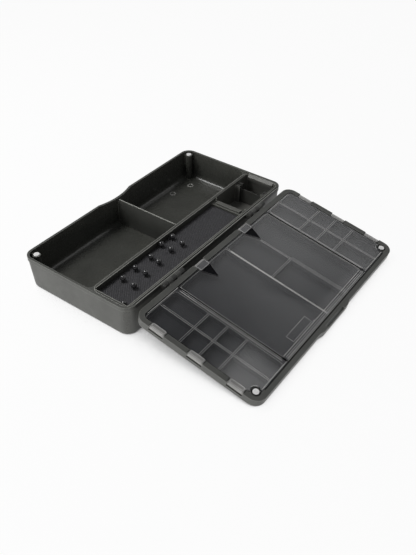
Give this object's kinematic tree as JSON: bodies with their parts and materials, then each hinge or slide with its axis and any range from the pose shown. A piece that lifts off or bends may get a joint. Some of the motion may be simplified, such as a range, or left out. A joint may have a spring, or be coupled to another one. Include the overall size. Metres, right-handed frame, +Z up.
{
  "type": "tackle box",
  "caption": "Flat hinged tackle box, open: deep base with loose divider and foam rig tray, and a shallow celled lid under three clear flip covers.",
  "frame": {"origin": "middle of the base's flat underside", "axes": "+Z up, +X along the long sides, +Y from the front wall towards the hinged lid"},
  "size_m": [0.36, 0.3765, 0.0517],
  "materials": {
    "box_plastic": "dark olive-grey moulded plastic, satin outside",
    "divider_plastic": "dark olive-grey moulded plastic",
    "tray_plastic": "dark olive-grey moulded plastic",
    "lid_plastic": "dark olive-grey moulded plastic",
    "foam": "black closed-cell foam with a fine embossed mesh",
    "pin_head_plastic": "glossy black balls",
    "pin_steel": "plain drawn steel wire",
    "magnet_nickel": "bright nickel plate",
    "cover_clear": "smoked clear plastic, glossy"
  },
  "bodies": {
    "base": {"base_tub": "box_plastic", "base_magnet_near": "magnet_nickel", "base_magnet_far": "magnet_nickel", "hinge_rod_near": "pin_steel", "hinge_rod_far": "pin_steel"},
    "divider": {"cross_divider": "divider_plastic"},
    "tray": {"rig_tray": "tray_plastic", "rig_foam": "foam"},
    "plate": {"tray_plate": "divider_plastic"},
    "lid": {"lid_frame": "lid_plastic", "near_cell_grid": "lid_plastic", "far_cell_grid": "lid_plastic", "middle_bay_walls": "lid_plastic", "lid_magnet_near": "magnet_nickel", "lid_magnet_far": "magnet_nickel", "near_clip_pins": "pin_steel", "far_clip_pins": "pin_steel", "middle_clip_pins": "pin_steel"},
    "near_cover": {"near_cover": "cover_clear"},
    "far_cover": {"far_cover": "cover_clear"},
    "middle_cover": {"middle_cover": "cover_clear"},
    "pin_1": {"pin_head_1": "pin_head_plastic", "pin_shank_1": "pin_steel"},
    "pin_2": {"pin_head_2": "pin_head_plastic", "pin_shank_2": "pin_steel"},
    "pin_3": {"pin_head_3": "pin_head_plastic", "pin_shank_3": "pin_steel"},
    "pin_4": {"pin_head_4": "pin_head_plastic", "pin_shank_4": "pin_steel"},
    "pin_5": {"pin_head_5": "pin_head_plastic", "pin_shank_5": "pin_steel"},
    "pin_6": {"pin_head_6": "pin_head_plastic", "pin_shank_6": "pin_steel"},
    "pin_7": {"pin_head_7": "pin_head_plastic", "pin_shank_7": "pin_steel"},
    "pin_8": {"pin_head_8": "pin_head_plastic", "pin_shank_8": "pin_steel"},
    "pin_9": {"pin_head_9": "pin_head_plastic", "pin_shank_9": "pin_steel"},
    "pin_10": {"pin_head_10": "pin_head_plastic", "pin_shank_10": "pin_steel"},
    "pin_11": {"pin_head_11": "pin_head_plastic", "pin_shank_11": "pin_steel"}
  },
  "joints": [
    {"name": "lid_hinge", "type": "hinge", "parent": "base", "child": "lid", "pos_m": [0, 0.09685, 0.0485], "axis": [-1, 0, 0], "range_deg": [-191.04, 0]},
    {"name": "tray_lift", "type": "slide", "parent": "base", "child": "tray", "axis": [0, 0, 1], "range_m": [0, 0.06]},
    {"name": "divider_lift", "type": "slide", "parent": "base", "child": "divider", "axis": [0, 0, 1], "range_m": [0, 0.05]},
    {"name": "plate_lift", "type": "slide", "parent": "tray", "child": "plate", "axis": [0, 0, 1], "range_m": [0, 0.035]},
    {"name": "near_cover_hinge", "type": "hinge", "parent": "lid", "child": "near_cover", "pos_m": [0.1766, 0.19129, 0.0268], "axis": [0, 0.9815, -0.1916], "range_deg": [0, 110]},
    {"name": "far_cover_hinge", "type": "hinge", "parent": "lid", "child": "far_cover", "pos_m": [-0.1766, 0.19129, 0.0268], "axis": [0, -0.9815, 0.1916], "range_deg": [0, 110]},
    {"name": "middle_cover_hinge", "type": "hinge", "parent": "lid", "child": "middle_cover", "pos_m": [0, 0.10433, 0.04378], "axis": [1, 0, 0], "range_deg": [0, 100]},
    {"name": "pin_1_pull", "type": "slide", "parent": "tray", "child": "pin_1", "axis": [0, 0, 1], "range_m": [0, 0.018]},
    {"name": "pin_2_pull", "type": "slide", "parent": "tray", "child": "pin_2", "axis": [0, 0, 1], "range_m": [0, 0.018]},
    {"name": "pin_3_pull", "type": "slide", "parent": "tray", "child": "pin_3", "axis": [0, 0, 1], "range_m": [0, 0.018]},
    {"name": "pin_4_pull", "type": "slide", "parent": "tray", "child": "pin_4", "axis": [0, 0, 1], "range_m": [0, 0.018]},
    {"name": "pin_5_pull", "type": "slide", "parent": "tray", "child": "pin_5", "axis": [0, 0, 1], "range_m": [0, 0.018]},
    {"name": "pin_6_pull", "type": "slide", "parent": "tray", "child": "pin_6", "axis": [0, 0, 1], "range_m": [0, 0.018]},
    {"name": "pin_7_pull", "type": "slide", "parent": "tray", "child": "pin_7", "axis": [0, 0, 1], "range_m": [0, 0.018]},
    {"name": "pin_8_pull", "type": "slide", "parent": "tray", "child": "pin_8", "axis": [0, 0, 1], "range_m": [0, 0.018]},
    {"name": "pin_9_pull", "type": "slide", "parent": "tray", "child": "pin_9", "axis": [0, 0, 1], "range_m": [0, 0.018]},
    {"name": "pin_10_pull", "type": "slide", "parent": "tray", "child": "pin_10", "axis": [0, 0, 1], "range_m": [0, 0.018]},
    {"name": "pin_11_pull", "type": "slide", "parent": "tray", "child": "pin_11", "axis": [0, 0, 1], "range_m": [0, 0.018]}
  ]
}
